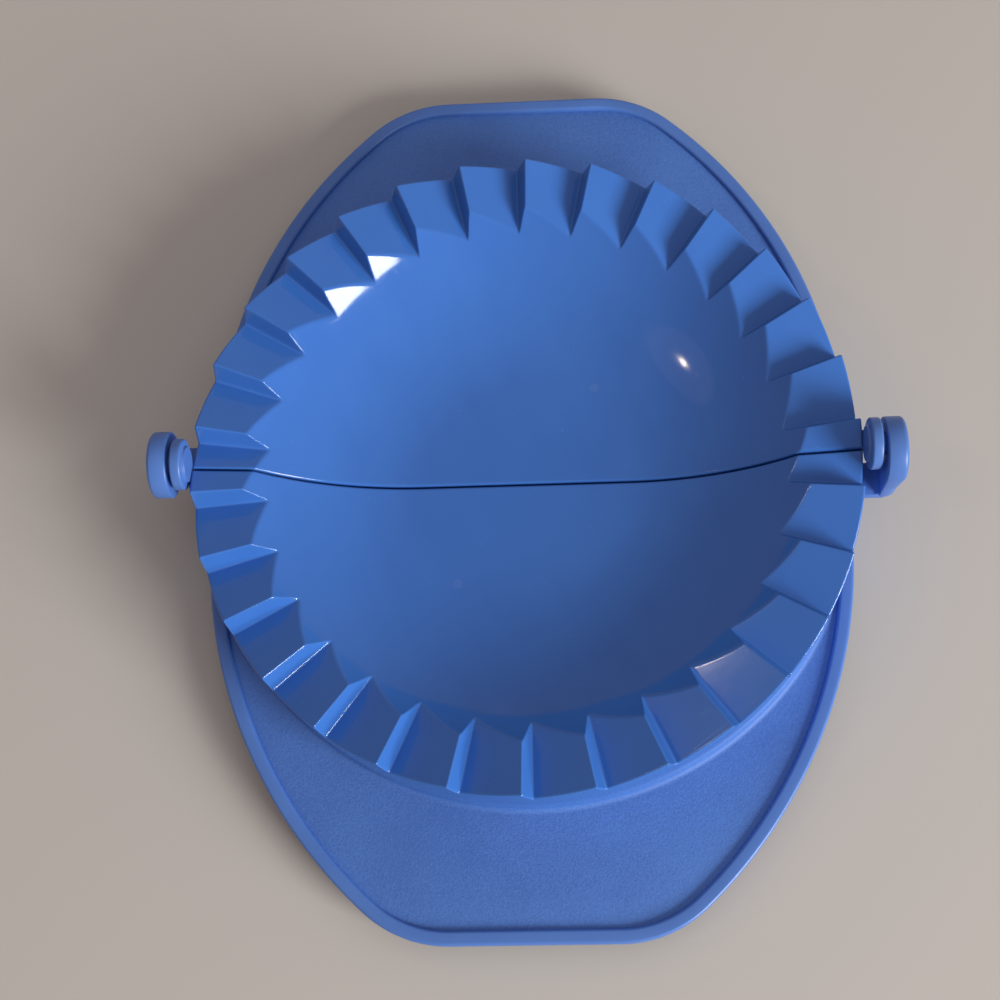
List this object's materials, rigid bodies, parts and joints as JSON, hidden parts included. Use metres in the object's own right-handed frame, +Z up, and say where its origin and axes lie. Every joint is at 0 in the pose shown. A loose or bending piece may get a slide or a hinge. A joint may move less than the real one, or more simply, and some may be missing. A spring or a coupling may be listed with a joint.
{
  "type": "empanada press",
  "caption": "Round hinged dough press: two half dishes with saw-tooth crimp rims that fold onto each other, flat grip plates, and a dough cutting ring underneath.",
  "frame": {"origin": "on the table, under the middle of the seam between the two halves", "axes": "+Z up, +X along the seam and the hinge axis, +Y across the two halves towards the rear one"},
  "size_m": [0.167, 0.2074, 0.0353],
  "materials": {
    "gloss_shell": "moulded, glossy, cornflower blue",
    "textured_plate": "fine spark-eroded texture, cornflower blue"
  },
  "bodies": {
    "front_half": {"front_dish": "gloss_shell", "front_crimp_ring": "gloss_shell", "front_skirt": "gloss_shell", "front_cutting_ring": "gloss_shell", "front_grip_plate": "textured_plate", "front_plate_lip": "gloss_shell", "front_hinge_stud": "gloss_shell", "front_hinge_ear": "gloss_shell", "front_hinge_bracket": "gloss_shell"},
    "rear_half": {"rear_dish": "gloss_shell", "rear_crimp_ring": "gloss_shell", "rear_skirt": "gloss_shell", "rear_cutting_ring": "gloss_shell", "rear_grip_plate": "textured_plate", "rear_plate_lip": "gloss_shell", "rear_hinge_stud": "gloss_shell", "rear_hinge_ear": "gloss_shell", "rear_hinge_bracket": "gloss_shell"}
  },
  "joints": [
    {"name": "fold_hinge", "type": "hinge", "parent": "front_half", "child": "rear_half", "pos_m": [0, 0, 0.0295], "axis": [1, 0, 0], "range_deg": [0, 184.5]}
  ]
}
